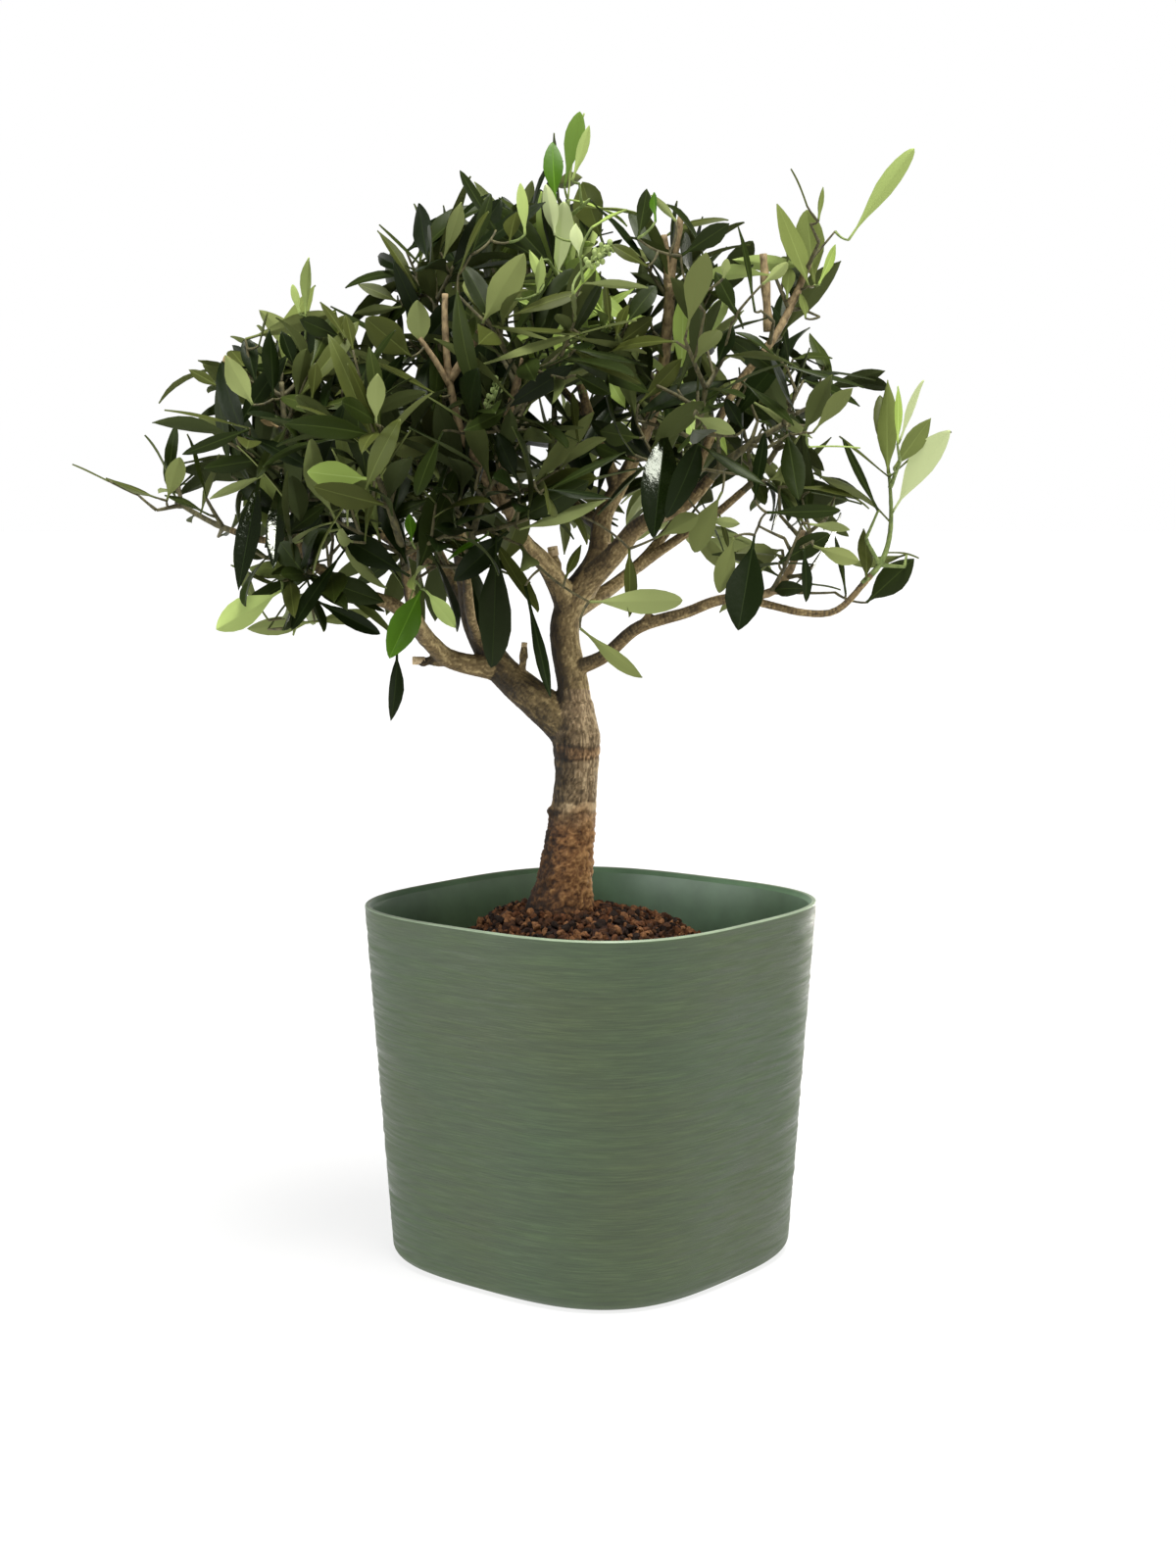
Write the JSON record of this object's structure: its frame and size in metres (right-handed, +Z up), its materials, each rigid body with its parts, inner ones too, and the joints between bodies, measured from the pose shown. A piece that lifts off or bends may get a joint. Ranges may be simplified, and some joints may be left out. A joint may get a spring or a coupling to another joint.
{
  "type": "olive bonsai in planter",
  "caption": "Small olive tree with a leaning forked trunk and an open rounded crown of narrow leaves, growing from a soil mound in a rounded square planter that stands on its flat base.",
  "frame": {"origin": "centre of the pot's flat underside", "axes": "+Z up, -Y towards the side seen in the picture, +X to that viewer's right"},
  "size_m": [0.424, 0.3041, 0.583],
  "materials": {
    "pot_plastic": "sage green with fine brushed streaks",
    "soil": "loose reddish brown bark and lava granules",
    "bark": "fissured grey and buff bark",
    "foliage": "satin leaves with paler undersides"
  },
  "bodies": {
    "root": {"pot": "pot_plastic", "soil": "soil", "trunk": "bark", "bough_leader": "bark", "bough_left": "bark", "bough_left_low": "bark", "bough_left_upper": "bark", "bough_left_tip": "bark", "bough_front_left": "bark", "bough_front": "bark", "bough_front_low": "bark", "bough_right_up": "bark", "bough_right": "bark", "bough_right_low": "bark", "bough_right_tip": "bark", "bough_right_high": "bark", "bough_front_right": "bark", "bough_top": "bark", "bough_back_left": "bark", "bough_left_back": "bark", "bough_back": "bark", "bough_back_right": "bark", "bough_right_back": "bark", "bough_upper_back": "bark", "foliage_top": "foliage", "foliage_right_high": "foliage", "foliage_right_tip": "foliage", "foliage_left_tip": "foliage", "foliage_upper_right": "foliage", "foliage_upper_left": "foliage", "foliage_left": "foliage", "foliage_right": "foliage", "foliage_right_low": "foliage", "foliage_left_low": "foliage", "foliage_front_left": "foliage", "foliage_front_low": "foliage", "foliage_front": "foliage", "foliage_front_right": "foliage", "foliage_upper_back": "foliage", "foliage_back_left": "foliage", "foliage_back": "foliage", "foliage_back_right": "foliage", "foliage_left_back": "foliage", "foliage_right_back": "foliage"}
  },
  "joints": []
}
